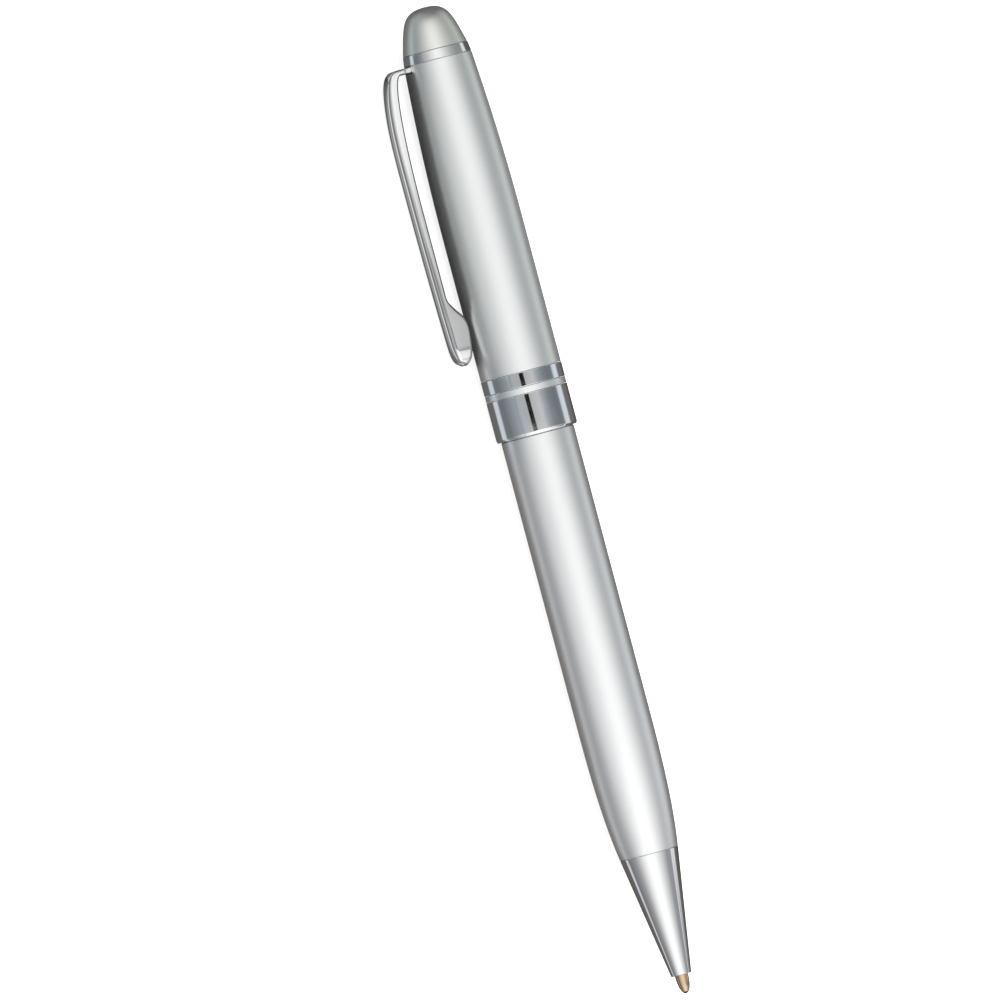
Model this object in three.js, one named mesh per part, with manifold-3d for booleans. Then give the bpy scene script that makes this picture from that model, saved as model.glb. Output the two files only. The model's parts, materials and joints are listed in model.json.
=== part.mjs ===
// A twist ballpoint pen lying on a desk, in millimetres, +Z up, writing tip towards +X.
//
// Every turned piece is drawn in the pen's own frame: u runs along the axis from the top of the
// finial to the writing ball, and r is the distance from the axis. The clip points to -Y there.
// The last group lays the pen down, rolled over until the clip rests on the desk.
//
// The pen is shown with its point out. Turning the upper barrel half a turn against the lower
// barrel turns the cam sleeve, whose two helical slots carry the follower pin and the plunger
// back along the straight slots of the guide tube, and the spring pushes the refill after them.

import * as THREE from 'three';
import { mergeVertices } from 'three/addons/utils/BufferGeometryUtils.js';
import Module from 'manifold-3d';

const wasm = await Module();
wasm.setup();

// Clearances
const seam = 0.03; // between faces that meet
const pressFit = 0.05; // round a pressed or screwed piece
const runningFit = 0.1; // round a piece that turns or slides

// Lengths of the pieces that show, along the axis
const finialHeight = 5.95;
const trimRingHeight = 1.42;
const upperBarrelLength = 44.36;
const upperBandHeight = 2.09;
const spacerHeight = 0.9;
const centreBandHeight = 5.77;
const lowerBarrelLength = 59.6;
const noseConeLength = 17.25;
const tipReach = 2.65; // ball past the nose, point out
const travel = 4; // of the refill, over half a turn

// Refill
const ballRadius = 0.5;
const ballPlay = 0.03;
const lipShare = 0.66; // of the ball's radius that stands out of its crimped lip
const ogiveLength = 1.1;
const ogivePull = { on: 0.7, out: 0.3 };
const pointRadius = 0.93;
const pointShoulder = 5; // from the ball's front to the thicker shank
const pointLength = 16;
const shankRadius = 1.15;
const inkChannelRadius = 0.2;
const pointStep = 0.3; // length of the bevel between the point and its shank
const inkWell = 2; // from the shoulder to the end of the wide bore
const inkWellBevel = 0.4;
const refillNeckStart = 12.4;
const refillNeckWall = 0.4;
const refillNeckLength = 7.8;
const refillShoulderLength = 2.2;
const refillRadius = 2.95;
const refillWall = 0.3;
const refillPlugHead = 1.6;
const refillPlugDepth = 5;
const refillPlugSlot = 0.8;

// Twist mechanism, counted back from the joint between the barrels
const guideTubeWall = 0.45;
const guideTubeReach = 31.5;
const nippleWall = 0.45;
const nippleFlangeThickness = 0.75;
const nippleThreadLength = 8;
const washerThickness = 0.4;
const retainingRingThickness = 0.4;
const retainingGroove = 0.2; // depth of its groove in the guide tube
const retainingRingWidth = 0.6;
const retainingRingGap = 60; // degrees
const guideTubeTail = 0.8; // behind the retaining ring
const camSleeveWall = 0.5;
const camSleeveLength = 12.6;
const camSlotMargin = 3.4; // from the sleeve's rear edge to the pin, point in
const pinRadius = 0.6;
const slotOvercut = 0.4; // past both faces of the sleeve
const plungerTail = 3; // behind the pin
const plungerNose = 6; // ahead of the pin
const plungerRecess = 1.5;
const plungerWall = 0.9;

// Lower barrel and nose
const insertWall = 0.43;
const insertLength = 9.5;
const lowerBarrelWall = 0.57;
const barrelTuck = 0.6; // how far the lower barrel's end hides inside the centre band
const noseTaperLength = 19; // of the barrel, before the nose cone
const noseTaperPull = 0.32; // of that length, still nearly straight
const noseTaperLead = 5.8; // at the cone's own slope
const noseSlope = 0.156; // radius gained per millimetre along the cone
const noseRimWall = 0.45;
const noseEdge = 0.16;
const noseBoreDepth = 1.2;
const noseBoreStep = 0.3;
const noseChamberEdge = 0.4; // from the barrel's end to the spring chamber's bevel
const noseChamberBevel = 0.8;
const noseSpigotWall = 0.4;
const noseSpigotLength = 5.5;
const noseSpigotSocket = 6.2;
const noseSocketWall = 0.52;

// Return spring
const springWire = 0.2; // radius
const springPlay = 0.15;
const springTurns = 8;
const springSeatDepth = 8.5; // from the end of the nose

// Upper barrel and what is on it
const upperBarrelWall = 1.49;
const upperBarrelTopRadius = 4.78;
const upperBarrelSwell = 24; // length over which it widens
const upperBarrelFullness = 0.66; // share of the widening that the first third pulls to
const barrelSpigotWall = 0.75;
const barrelSpigotEnd = 1.9; // from the lower edge of the centre band
const bandWall = 0.72;
const bandBevel = 0.35;
const bandEdge = 0.1;
const spacerInset = 0.03;
const finialFlat = 0.7; // of its radius, where the dome leaves the axis
const finialCrown = 0.27; // of its height, where the dome turns into the side
const finialCrownWidth = 0.755; // of its radius, at the crown
const finialSpigotWall = 1.1;
const studRadius = 2;
const studLength = 8;
const studTip = 0.8; // of its radius
const trimRingTaper = 0.21;
const topWall = 0.73;
const topPlugLength = 7.6;
const topBoreLength = 10;

// Clip
const clipWidth = 2.6;
const clipEdge = 0.35; // rounding of its long edges
const clipThickness = 1.15;
const clipArmThickness = 0.8;
const clipArmPlay = 0.12; // above and below the arm, so that the clip can lift
const clipTongueWidth = 2;
const clipTonguePlay = 0.15;
const clipTongueReach = 1.05; // inwards from the barrel's bore
const clipLength = 41.5;
const clipFootLength = 9.7;
const clipFootThickness = 3;
const clipFootGap = 0.12;
const clipFootTip = 1.3; // radius of the rounded end
const pocketGap = 2.66; // between the barrel and the clip
const trimReach = 1; // how far a cutting block stands past what it cuts

// Side view of the clip: how far its curves start and are pulled from the named faces and ends
const clipCrestShift = 1.8; // highest place of the blade, past a third of its length
const clipCrestPull = 8;
const outerBend = 3.1; // from the outer face down to where the arm starts to bend
const outerBendLift = 1;
const outerBendPull = 4.8;
const innerBend = 1.9; // from the inner face down to the same place
const innerBendLift = 0.9;
const innerBendPull = 4.2;
const bladeDroop = 0.1;
const bladePull = 1.5; // back from where the foot starts
const footRise = 3; // back from the centre of the rounded end
const footTopPull = 0.2;
const tipUpper = { back: 0.25, out: 2.3 }; // back from the end, out from the foot's face
const tipMiddle = { back: -0.25, out: 1.3 };
const tipLower = { back: 0.6, out: 0.65 };
const heelPull = { back: 0.3, out: 0.15 };
const heelLength = 2.8; // back from the centre of the rounded end
const archPull = 3.5; // on from where the foot starts
const archRise = { on: 2.4, out: 0.75 };
const archTopPull = 1.1;
const archTop = 0.5; // back from where the foot starts

// Facets round the axis
const shellSides = 48;
const coreSides = 24;

// Stations along the axis
const finialBase = finialHeight;
const barrelTop = finialBase + trimRingHeight;
const bandTop = barrelTop + upperBarrelLength;
const spacerTop = bandTop + upperBandHeight;
const centreBandTop = spacerTop + spacerHeight;
const bandEnd = centreBandTop + centreBandHeight;
const noseTop = bandEnd + lowerBarrelLength;
const noseEnd = noseTop + noseConeLength;
const penLength = noseEnd + tipReach;
const spigotEnd = bandEnd - barrelSpigotEnd;
const lowerBarrelTop = bandEnd - barrelTuck;
const flangeTop = lowerBarrelTop - seam - nippleFlangeThickness;
const threadEnd = lowerBarrelTop + nippleThreadLength;
const guideTop = flangeTop - guideTubeReach;
const retainingTop = guideTop + guideTubeTail;
const camTop = retainingTop + retainingRingThickness + runningFit;
const pinStation = camTop + camSlotMargin + travel;
const plungerTop = pinStation - plungerTail;
const plungerEnd = pinStation + plungerNose;
const refillTop = plungerEnd - plungerRecess + seam;
const plugShoulder = refillTop + refillPlugHead;
const armTop = barrelTop + clipArmPlay;
const armBottom = armTop + clipArmThickness;
const notchBottom = armBottom + clipArmPlay;
const clipEnd = armTop + clipLength;
const footStart = clipEnd - clipFootLength;

// Radii, from the refill outwards
const guideBore = refillRadius + runningFit + pressFit;
const guideRadius = guideBore + guideTubeWall;
const nippleBore = guideRadius + pressFit;
const nippleRadius = nippleBore + nippleWall;
const insertBore = nippleRadius + pressFit;
const insertRadius = insertBore + insertWall;
const lowerBarrelBore = insertRadius + pressFit;
const lowerBarrelRadius = lowerBarrelBore + lowerBarrelWall;
const camBore = guideRadius + runningFit;
const camRadius = camBore + camSleeveWall;
const upperBarrelBore = camRadius + pressFit;
const upperBarrelRadius = upperBarrelBore + upperBarrelWall;
const spigotRadius = upperBarrelBore + barrelSpigotWall;
const bandBore = spigotRadius + pressFit;
const bandRadius = bandBore + bandWall;
const bandSocket = lowerBarrelRadius + runningFit;
const flangeRadius = lowerBarrelRadius - runningFit;
const plungerRadius = guideBore - runningFit;
const topBore = upperBarrelTopRadius - topWall;
const trimRingRadius = upperBarrelTopRadius - trimRingTaper;
const finialSpigotRadius = trimRingRadius - finialSpigotWall;
const neckBore = shankRadius + pressFit;
const neckRadius = neckBore + refillNeckWall;
const springBore = neckRadius + springPlay;
const springRadius = springBore + springWire;
const springChamber = springRadius + springWire + springPlay;
const noseBore = pointRadius + pressFit;
const shankBore = shankRadius + runningFit;
const noseRadius = noseBore + noseRimWall;
const noseTopRadius = noseRadius + noseSlope * noseConeLength;
const socketBore = noseTopRadius - noseSocketWall;
const noseSpigotRadius = socketBore - pressFit;
const noseSpigotBore = noseSpigotRadius - noseSpigotWall;
const clipInner = upperBarrelRadius + pocketGap;
const clipOuter = clipInner + clipThickness;

// Finishes
const finish = (color, roughness, metalness) =>
  new THREE.MeshStandardMaterial({ color, roughness, metalness });
const satinSilver = finish(0xc9cac8, 0.38, 0.85);
const chrome = finish(0xd9dadb, 0.06, 1);
const brass = finish(0xc9a55c, 0.3, 1);
const pointBrass = finish(0xb9935a, 0.25, 1);
const steel = finish(0xb4b6b8, 0.3, 1);
const carbide = finish(0x6f7072, 0.2, 1);
const nylon = finish(0xe8e6df, 0.55, 0);
const bluePlastic = finish(0x24407c, 0.4, 0);

// Shape tools

// A profile point at station u and radius r.
const at = (u, r) => new THREE.Vector2(r, u);

// Points of a cubic curve between two profile points.
function sweep(from, pullFrom, pullTo, to, steps) {
  return new THREE.CubicBezierCurve(from, pullFrom, pullTo, to).getPoints(steps);
}

// A body turned about the pen's axis.
function turned(profile, sides) {
  return new THREE.LatheGeometry(profile, sides).rotateZ(-Math.PI / 2);
}

// A tube or ring: the profile is closed on itself.
const ring = (profile, sides) => turned([...profile, profile[0]], sides);

function solid(geometry) {
  const bare = geometry.clone().deleteAttribute('normal').deleteAttribute('uv');
  const merged = mergeVertices(bare, 1e-4);
  const mesh = new wasm.Mesh({
    numProp: 3,
    vertProperties: merged.attributes.position.array,
    triVerts: new Uint32Array(merged.index.array),
  });
  return new wasm.Manifold(mesh);
}

function geometryOf(body) {
  const mesh = body.getMesh();
  return new THREE.BufferGeometry()
    .setAttribute('position', new THREE.BufferAttribute(mesh.vertProperties, 3))
    .setIndex(new THREE.BufferAttribute(mesh.triVerts, 1));
}

function cut(geometry, ...cutters) {
  const body = cutters.reduce((left, cutter) => left.subtract(solid(cutter)), solid(geometry));
  return geometryOf(body);
}

// A box from u0 to u1 along the axis, centred on the pen's axis in y and z unless moved.
function block(u0, u1, width, height, y = 0, z = 0) {
  return new THREE.BoxGeometry(u1 - u0, width, height).translate((u0 + u1) / 2, y, z);
}

// Pieces on the top of the pen

function finialShape() {
  const crown = finialHeight * finialCrown;
  const dome = sweep(
    at(0, 0),
    at(0, trimRingRadius * finialFlat),
    at(crown, trimRingRadius * finialCrownWidth),
    at(finialBase, trimRingRadius),
    8,
  );
  const stud = barrelTop + studLength;
  return turned(
    [
      ...dome,
      at(finialBase, finialSpigotRadius),
      at(barrelTop - seam, finialSpigotRadius),
      at(barrelTop - seam, studRadius),
      at(stud - pressFit, studRadius),
      at(stud, studRadius * studTip),
      at(stud, 0),
    ],
    shellSides,
  );
}

function finialTrimRingShape() {
  return ring(
    [
      at(finialBase + seam, finialSpigotRadius + pressFit),
      at(finialBase + seam, trimRingRadius - bandEdge / 2),
      at(finialBase + seam + bandEdge, trimRingRadius + bandEdge / 4),
      at(barrelTop - seam - bandEdge, upperBarrelTopRadius),
      at(barrelTop - seam, upperBarrelTopRadius - bandEdge / 2),
      at(barrelTop - seam, finialSpigotRadius + pressFit),
    ],
    shellSides,
  );
}

// The washer's slot takes the tongue of the clip.
function clipWasherShape() {
  const outer = topBore - runningFit;
  const washer = ring(
    [
      at(armTop, studRadius + pressFit),
      at(armTop, outer),
      at(armBottom, outer),
      at(armBottom, studRadius + pressFit),
    ],
    coreSides,
  );
  const tongueEnd = topBore - clipTongueReach - clipTonguePlay;
  const slotWidth = clipTongueWidth + 2 * clipTonguePlay;
  const slotCentre = -(tongueEnd + topBore) / 2;
  const slot = block(barrelTop, notchBottom, topBore - tongueEnd, slotWidth, slotCentre);
  return cut(washer, slot);
}

function topPlugShape() {
  const outer = topBore - pressFit;
  const bore = studRadius + pressFit;
  const start = notchBottom + seam;
  const end = start + topPlugLength;
  return ring(
    [
      at(start, bore),
      at(start, outer),
      at(end - bandBevel, outer),
      at(end, outer - bandBevel),
      at(end, bore),
    ],
    coreSides,
  );
}

function upperBarrelShape() {
  const swellEnd = barrelTop + upperBarrelSwell;
  const rise = upperBarrelRadius - upperBarrelTopRadius;
  const swell = sweep(
    at(barrelTop, upperBarrelTopRadius),
    at(barrelTop + upperBarrelSwell / 3, upperBarrelTopRadius + rise * upperBarrelFullness),
    at(barrelTop + (upperBarrelSwell * 2) / 3, upperBarrelRadius),
    at(swellEnd, upperBarrelRadius),
    7,
  );
  const tube = ring(
    [
      ...swell,
      at(bandTop, upperBarrelRadius),
      at(bandTop, spigotRadius),
      at(spigotEnd, spigotRadius),
      at(spigotEnd, upperBarrelBore),
      at(barrelTop + topBoreLength + pressFit, upperBarrelBore),
      at(barrelTop + topBoreLength, topBore),
      at(barrelTop, topBore),
    ],
    shellSides,
  );
  const reach = upperBarrelRadius;
  const notchWidth = clipWidth + 2 * clipTonguePlay;
  return cut(tube, block(barrelTop - trimReach, notchBottom, reach, notchWidth, -reach));
}

// The clip's side view, extruded across its width, then trimmed to its outline seen from above.
function clipShape() {
  const foot = upperBarrelRadius + clipFootGap;
  const crest = (armTop + clipEnd) / 3 + clipCrestShift;
  const tongue = topBore - clipTongueReach;
  const bendStart = clipOuter - outerBend;
  const footOuter = foot + clipFootThickness;
  const tipCentre = clipEnd - clipFootTip;
  const side = new THREE.Shape();
  side.moveTo(armTop, tongue);
  side.lineTo(armTop, bendStart);
  side.bezierCurveTo(
    armTop, clipOuter - outerBendLift, armTop + outerBendPull, clipOuter, crest, clipOuter,
  );
  side.bezierCurveTo(
    crest + clipCrestPull, clipOuter,
    footStart - bladePull, clipOuter - bladeDroop,
    tipCentre - footRise, footOuter + bladeDroop,
  );
  side.quadraticCurveTo(
    tipCentre, footOuter - footTopPull, clipEnd - tipUpper.back, foot + tipUpper.out,
  );
  side.quadraticCurveTo(
    clipEnd - tipMiddle.back, foot + tipMiddle.out, clipEnd - tipLower.back, foot + tipLower.out,
  );
  side.quadraticCurveTo(
    tipCentre - heelPull.back, foot + heelPull.out, tipCentre - heelLength, foot,
  );
  side.quadraticCurveTo(footStart + archPull, foot, footStart + archRise.on, foot + archRise.out);
  side.quadraticCurveTo(footStart + archTopPull, clipInner, footStart - archTop, clipInner);
  side.lineTo(crest, clipInner);
  side.bezierCurveTo(
    armTop + innerBendPull, clipInner,
    armBottom, clipInner - innerBendLift,
    armBottom, clipInner - innerBend,
  );
  side.lineTo(armBottom, tongue);
  side.closePath();
  const bar = new THREE.ExtrudeGeometry(side, {
    depth: clipWidth - 2 * clipEdge,
    curveSegments: 7,
    bevelEnabled: true,
    bevelThickness: clipEdge,
    bevelSize: clipEdge,
    bevelOffset: -clipEdge,
    bevelSegments: 2,
  });
  bar.translate(0, 0, -(clipWidth / 2 - clipEdge)).rotateX(Math.PI);

  const outline = new THREE.Shape();
  outline.moveTo(barrelTop - trimReach, -clipWidth);
  outline.lineTo(clipEnd - clipWidth / 2, -clipWidth / 2);
  outline.absarc(clipEnd - clipWidth / 2, 0, clipWidth / 2, -Math.PI / 2, Math.PI / 2, false);
  outline.lineTo(barrelTop - trimReach, clipWidth);
  outline.closePath();
  const plan = new THREE.ExtrudeGeometry(outline, {
    depth: 2 * clipOuter,
    curveSegments: 8,
    bevelEnabled: false,
  });
  plan.rotateX(Math.PI / 2);
  const trimmed = solid(bar).intersect(solid(plan));

  // The tongue is narrower than the arm where it enters the washer's slot.
  const shoulderReach = topBore - clipTonguePlay;
  const shoulderWidth = (clipWidth - clipTongueWidth) / 2 + trimReach;
  const shoulders = [-1, 1].map((way) =>
    block(
      barrelTop - trimReach,
      notchBottom + trimReach,
      shoulderReach,
      shoulderWidth,
      -shoulderReach / 2,
      (way * (clipTongueWidth + shoulderWidth)) / 2,
    ),
  );
  return cut(geometryOf(trimmed), ...shoulders);
}

// Rings at the middle of the pen

function upperBandShape() {
  return ring(
    [
      at(bandTop + seam, bandBore),
      at(bandTop + seam, bandRadius - bandEdge),
      at(bandTop + seam + bandEdge, bandRadius),
      at(spacerTop - seam - bandEdge, bandRadius),
      at(spacerTop - seam, bandRadius - bandEdge),
      at(spacerTop - seam, bandBore),
    ],
    shellSides,
  );
}

function spacerShape() {
  return ring(
    [
      at(spacerTop, bandBore),
      at(spacerTop, bandRadius - spacerInset),
      at(centreBandTop, bandRadius - spacerInset),
      at(centreBandTop, bandBore),
    ],
    shellSides,
  );
}

function centreBandShape() {
  return ring(
    [
      at(centreBandTop + seam, bandBore),
      at(centreBandTop + seam, bandRadius - bandEdge),
      at(centreBandTop + seam + bandEdge, bandRadius),
      at(bandEnd - bandBevel, bandRadius),
      at(bandEnd - bandEdge, bandRadius - bandBevel / 2),
      at(bandEnd, bandRadius - bandBevel / 2 - bandEdge),
      at(bandEnd, bandSocket),
      at(spigotEnd, bandSocket),
      at(spigotEnd, bandBore),
    ],
    shellSides,
  );
}

// Twist mechanism

// A slot that climbs the cam sleeve by the refill's travel in half a turn.
function helicalSlot(startAngle) {
  const steps = 24;
  const lead = Math.atan(travel / (Math.PI * (camBore + camSleeveWall / 2)));
  const half = (pinRadius + runningFit) / Math.cos(lead);
  const inner = camBore - slotOvercut;
  const outer = camRadius + slotOvercut;
  const corners = [[inner, -half], [inner, half], [outer, half], [outer, -half]];
  const positions = [];
  const indices = [];
  for (let i = 0; i <= steps; i++) {
    const angle = startAngle + (Math.PI * i) / steps;
    const station = pinStation - (travel * i) / steps;
    for (const [radius, offset] of corners) {
      positions.push(station + offset, -radius * Math.sin(angle), radius * Math.cos(angle));
    }
  }
  for (let i = 0; i < steps; i++) {
    for (let corner = 0; corner < 4; corner++) {
      const a = 4 * i + corner;
      const b = 4 * i + ((corner + 1) % 4);
      indices.push(a, b, a + 4, b, b + 4, a + 4);
    }
  }
  const last = 4 * steps;
  indices.push(0, 2, 1, 0, 3, 2, last, last + 1, last + 2, last, last + 2, last + 3);
  return new THREE.BufferGeometry()
    .setAttribute('position', new THREE.Float32BufferAttribute(positions, 3))
    .setIndex(indices);
}

// A round hole through one wall of the cam sleeve, at the end of a slot.
function slotEnd(station, angle) {
  const length = camSleeveWall + 2 * slotOvercut;
  const radius = camBore + camSleeveWall / 2;
  return new THREE.CylinderGeometry(pinRadius + runningFit, pinRadius + runningFit, length, 16)
    .rotateX(Math.PI / 2)
    .translate(0, 0, radius)
    .rotateX(angle)
    .translate(station, 0, 0);
}

function camSleeveShape() {
  const end = camTop + camSleeveLength;
  const tube = ring(
    [at(camTop, camBore), at(camTop, camRadius), at(end, camRadius), at(end, camBore)],
    coreSides,
  );
  const slots = [0, Math.PI].flatMap((angle) => [
    helicalSlot(angle),
    slotEnd(pinStation, angle),
    slotEnd(pinStation - travel, angle + Math.PI),
  ]);
  return cut(tube, ...slots);
}

function guideTubeShape() {
  const groove = guideRadius - retainingGroove;
  const grooveEnd = retainingTop + retainingRingThickness + seam;
  const tube = ring(
    [
      at(guideTop, guideBore),
      at(guideTop, guideRadius),
      at(retainingTop - seam, guideRadius),
      at(retainingTop - seam, groove),
      at(grooveEnd, groove),
      at(grooveEnd, guideRadius),
      at(threadEnd, guideRadius),
      at(threadEnd, guideBore),
    ],
    coreSides,
  );
  const half = pinRadius + runningFit;
  const slots = block(
    pinStation - travel - half,
    pinStation + half,
    2 * half,
    4 * guideRadius,
  );
  return cut(tube, slots);
}

function retainingRingShape() {
  const inner = guideRadius - retainingGroove + pressFit;
  const outer = inner + retainingRingWidth;
  const open = THREE.MathUtils.degToRad(retainingRingGap / 2);
  const clip = new THREE.Shape();
  clip.absarc(0, 0, outer, open, 2 * Math.PI - open, false);
  clip.absarc(0, 0, inner, 2 * Math.PI - open, open, true);
  clip.closePath();
  return new THREE.ExtrudeGeometry(clip, {
    depth: retainingRingThickness,
    curveSegments: coreSides / 2,
    bevelEnabled: false,
  })
    .rotateY(Math.PI / 2)
    .translate(retainingTop, 0, 0);
}

function nippleShape() {
  return ring(
    [
      at(flangeTop, nippleBore),
      at(flangeTop, flangeRadius),
      at(lowerBarrelTop - seam, flangeRadius),
      at(lowerBarrelTop - seam, nippleRadius),
      at(threadEnd - bandBevel, nippleRadius),
      at(threadEnd, nippleRadius - bandBevel / 2),
      at(threadEnd, nippleBore),
    ],
    coreSides,
  );
}

function thrustWasherShape() {
  const end = flangeTop - seam;
  const start = end - washerThickness;
  return ring(
    [
      at(start, guideRadius + runningFit),
      at(start, flangeRadius),
      at(end, flangeRadius),
      at(end, guideRadius + runningFit),
    ],
    coreSides,
  );
}

function plungerShape() {
  const recess = plungerRadius - plungerWall / 2;
  const pocket = plungerRadius - plungerWall;
  const tail = plungerTop + plungerTail - pinRadius - plungerWall;
  const body = turned(
    [
      at(tail, 0),
      at(tail, pocket),
      at(plungerTop, pocket),
      at(plungerTop, plungerRadius),
      at(plungerEnd, plungerRadius),
      at(plungerEnd, recess),
      at(plungerEnd - plungerRecess, recess),
      at(plungerEnd - plungerRecess, 0),
    ],
    coreSides,
  );
  const hole = pinRadius + pressFit;
  const crossHole = new THREE.CylinderGeometry(hole, hole, 4 * plungerRadius, 16)
    .rotateX(Math.PI / 2)
    .translate(pinStation, 0, 0);
  return cut(body, crossHole);
}

function followerPinShape() {
  const reach = camRadius - runningFit;
  return new THREE.CylinderGeometry(pinRadius, pinRadius, 2 * reach, 16)
    .rotateX(Math.PI / 2)
    .translate(pinStation, 0, 0);
}

// Lower barrel and nose

function barrelInsertShape() {
  const start = lowerBarrelTop + seam;
  const end = start + insertLength;
  return ring(
    [
      at(start, insertBore),
      at(start, insertRadius),
      at(end, insertRadius),
      at(end, insertBore),
    ],
    coreSides,
  );
}

function lowerBarrelShape() {
  const taperStart = noseTop - noseTaperLength;
  const socketEnd = noseTop - noseSpigotSocket;
  const taper = sweep(
    at(taperStart, lowerBarrelRadius),
    at(taperStart + noseTaperLength * noseTaperPull, lowerBarrelRadius),
    at(noseTop - noseTaperLead, noseTopRadius + noseTaperLead * noseSlope),
    at(noseTop, noseTopRadius),
    9,
  );
  return ring(
    [
      at(lowerBarrelTop, lowerBarrelRadius),
      ...taper,
      at(noseTop, socketBore),
      at(socketEnd, socketBore),
      at(taperStart, lowerBarrelBore),
      at(lowerBarrelTop, lowerBarrelBore),
    ],
    shellSides,
  );
}

function noseConeShape() {
  const seat = noseEnd - springSeatDepth;
  const spigotTop = noseTop - noseSpigotLength;
  return ring(
    [
      at(spigotTop, noseSpigotBore),
      at(spigotTop, noseSpigotRadius),
      at(noseTop + seam, noseSpigotRadius),
      at(noseTop + seam, noseTopRadius),
      at(noseEnd - noseEdge, noseRadius),
      at(noseEnd, noseRadius - noseEdge),
      at(noseEnd, noseBore),
      at(noseEnd - noseBoreDepth, noseBore),
      at(noseEnd - noseBoreDepth - noseBoreStep, shankBore),
      at(seat, shankBore),
      at(seat, springChamber),
      at(noseTop - noseChamberEdge, springChamber),
      at(noseTop - noseChamberEdge - noseChamberBevel, noseSpigotBore),
    ],
    shellSides,
  );
}

// The wire's centreline: closed end turns and open ones between them.
class SpringLine extends THREE.Curve {
  getPoint(t, target = new THREE.Vector3()) {
    const first = noseEnd - springSeatDepth - springWire - seam;
    const last = penLength - refillNeckStart - refillNeckLength + springWire + seam;
    const turn = t * springTurns;
    const closed = 2 * springWire + seam;
    const open = (first - last - 2 * closed) / (springTurns - 2);
    const ends = Math.min(turn, 1) + Math.max(turn - springTurns + 1, 0);
    const advance = closed * ends + open * (turn - ends);
    const angle = 2 * Math.PI * turn;
    return target.set(first - advance, springRadius * Math.cos(angle), springRadius * Math.sin(angle));
  }
}

function returnSpringShape() {
  const wire = new THREE.Shape();
  wire.absarc(0, 0, springWire, 0, 2 * Math.PI, false);
  return new THREE.ExtrudeGeometry(wire, {
    steps: springTurns * 12,
    curveSegments: 3,
    bevelEnabled: false,
    extrudePath: new SpringLine(),
  });
}

// Refill, counted back from the front of the ball

const back = (distance) => penLength - distance;

function refillBarrelShape() {
  const neckEnd = refillNeckStart + refillNeckLength;
  const shoulderEnd = neckEnd + refillShoulderLength;
  const bore = refillRadius - refillWall;
  return ring(
    [
      at(plugShoulder + seam, bore),
      at(plugShoulder + seam, refillRadius),
      at(back(shoulderEnd), refillRadius),
      at(back(neckEnd), neckRadius),
      at(back(refillNeckStart), neckRadius),
      at(back(refillNeckStart), neckBore),
      at(back(neckEnd), neckBore),
      at(back(shoulderEnd + refillWall), bore),
    ],
    coreSides,
  );
}

function refillPlugShape() {
  const stem = refillRadius - refillWall - pressFit;
  const head = plungerRadius - plungerWall / 2 - runningFit;
  const body = turned(
    [
      at(refillTop, 0),
      at(refillTop, head),
      at(plugShoulder, head),
      at(plugShoulder, stem),
      at(plugShoulder + refillPlugDepth, stem),
      at(plugShoulder + refillPlugDepth, 0),
    ],
    coreSides,
  );
  const slot = block(refillTop - trimReach, refillTop + refillPlugHead / 2, refillPlugSlot, 4 * head);
  return cut(body, slot);
}

function refillPointShape() {
  const seatRadius = ballRadius + ballPlay;
  const lip = ballRadius * lipShare;
  const lipAngle = Math.acos((ballRadius - lip) / seatRadius);
  const channelAngle = Math.PI - Math.asin(inkChannelRadius / seatRadius);
  const seat = [];
  for (let i = 0; i <= 6; i++) {
    const angle = channelAngle + ((lipAngle - channelAngle) * i) / 6;
    const forward = ballRadius - seatRadius * Math.cos(angle);
    seat.push(at(back(forward), seatRadius * Math.sin(angle)));
  }
  const lipRadius = seatRadius * Math.sin(lipAngle);
  const ogive = sweep(
    at(back(lip), lipRadius + ballPlay),
    at(back(lip + ogivePull.on), lipRadius + ogivePull.out),
    at(back(lip + ogiveLength), pointRadius),
    at(back(tipReach), pointRadius),
    5,
  ).reverse();
  const wellTop = back(pointShoulder - inkWell);
  const well = shankRadius / 2;
  return ring(
    [
      at(back(pointLength), well),
      at(back(pointLength), shankRadius),
      at(back(pointShoulder), shankRadius),
      at(back(pointShoulder - pointStep), pointRadius),
      ...ogive,
      ...seat.reverse(),
      at(wellTop, inkChannelRadius),
      at(wellTop - inkWellBevel, well),
    ],
    20,
  );
}

function writingBallShape() {
  return new THREE.SphereGeometry(ballRadius, 16, 10)
    .rotateZ(Math.PI / 2)
    .translate(penLength - ballRadius, 0, 0);
}

const pieces = [
  ['finial', finialShape, satinSilver],
  ['finial_trim_ring', finialTrimRingShape, chrome],
  ['clip_washer', clipWasherShape, steel],
  ['clip', clipShape, chrome],
  ['top_plug', topPlugShape, brass],
  ['upper_barrel', upperBarrelShape, satinSilver],
  ['upper_band', upperBandShape, chrome],
  ['band_spacer', spacerShape, satinSilver],
  ['centre_band', centreBandShape, chrome],
  ['cam_sleeve', camSleeveShape, brass],
  ['guide_tube', guideTubeShape, steel],
  ['retaining_ring', retainingRingShape, steel],
  ['threaded_nipple', nippleShape, brass],
  ['thrust_washer', thrustWasherShape, nylon],
  ['plunger', plungerShape, nylon],
  ['follower_pin', followerPinShape, steel],
  ['barrel_insert', barrelInsertShape, brass],
  ['lower_barrel', lowerBarrelShape, satinSilver],
  ['nose_cone', noseConeShape, chrome],
  ['return_spring', returnSpringShape, steel],
  ['refill_barrel', refillBarrelShape, steel],
  ['refill_plug', refillPlugShape, bluePlastic],
  ['refill_point', refillPointShape, pointBrass],
  ['writing_ball', writingBallShape, carbide],
];

const pen = new THREE.Group();
for (const [name, shape, material] of pieces) {
  const mesh = new THREE.Mesh(shape(), material);
  mesh.name = name;
  pen.add(mesh);
}

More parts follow.
